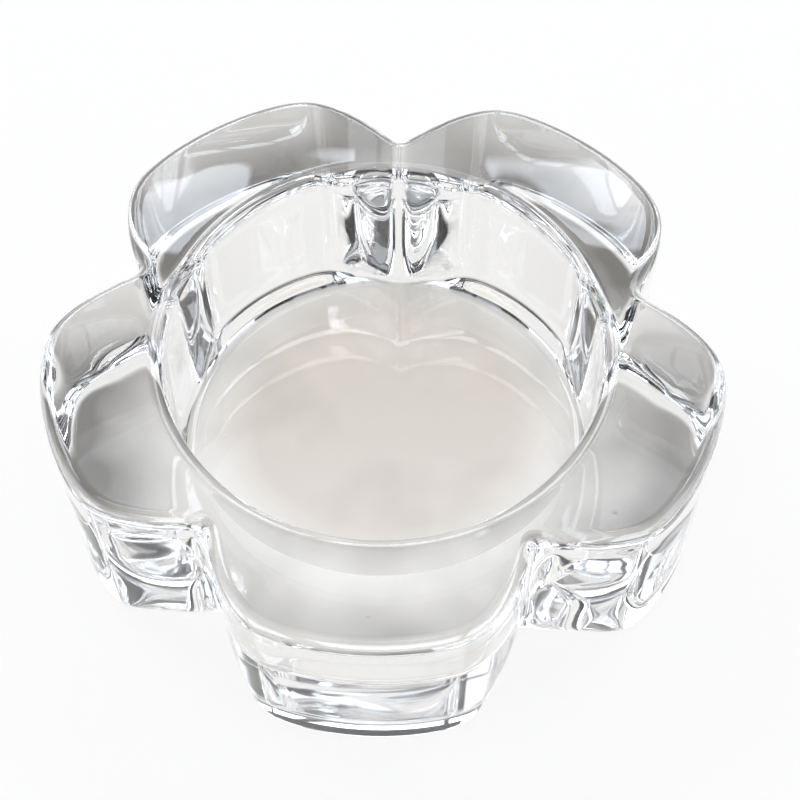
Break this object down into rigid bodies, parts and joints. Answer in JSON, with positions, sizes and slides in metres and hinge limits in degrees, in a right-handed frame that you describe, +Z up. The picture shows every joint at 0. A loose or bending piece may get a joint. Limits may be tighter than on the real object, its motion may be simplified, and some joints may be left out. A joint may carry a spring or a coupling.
{
  "type": "tealight holder",
  "caption": "Flower-shaped clear pressed-glass tealight holder with rounded petals around a round flat-floored well.",
  "frame": {"origin": "on the well's axis at the flat underside", "axes": "+Z up out of the well, -Y along the middle of one petal"},
  "size_m": [0.079, 0.077, 0.0248],
  "materials": {
    "clear_glass": "fire-polished clear soda-lime glass"
  },
  "bodies": {
    "root": {"glass_body": "clear_glass"}
  },
  "joints": []
}
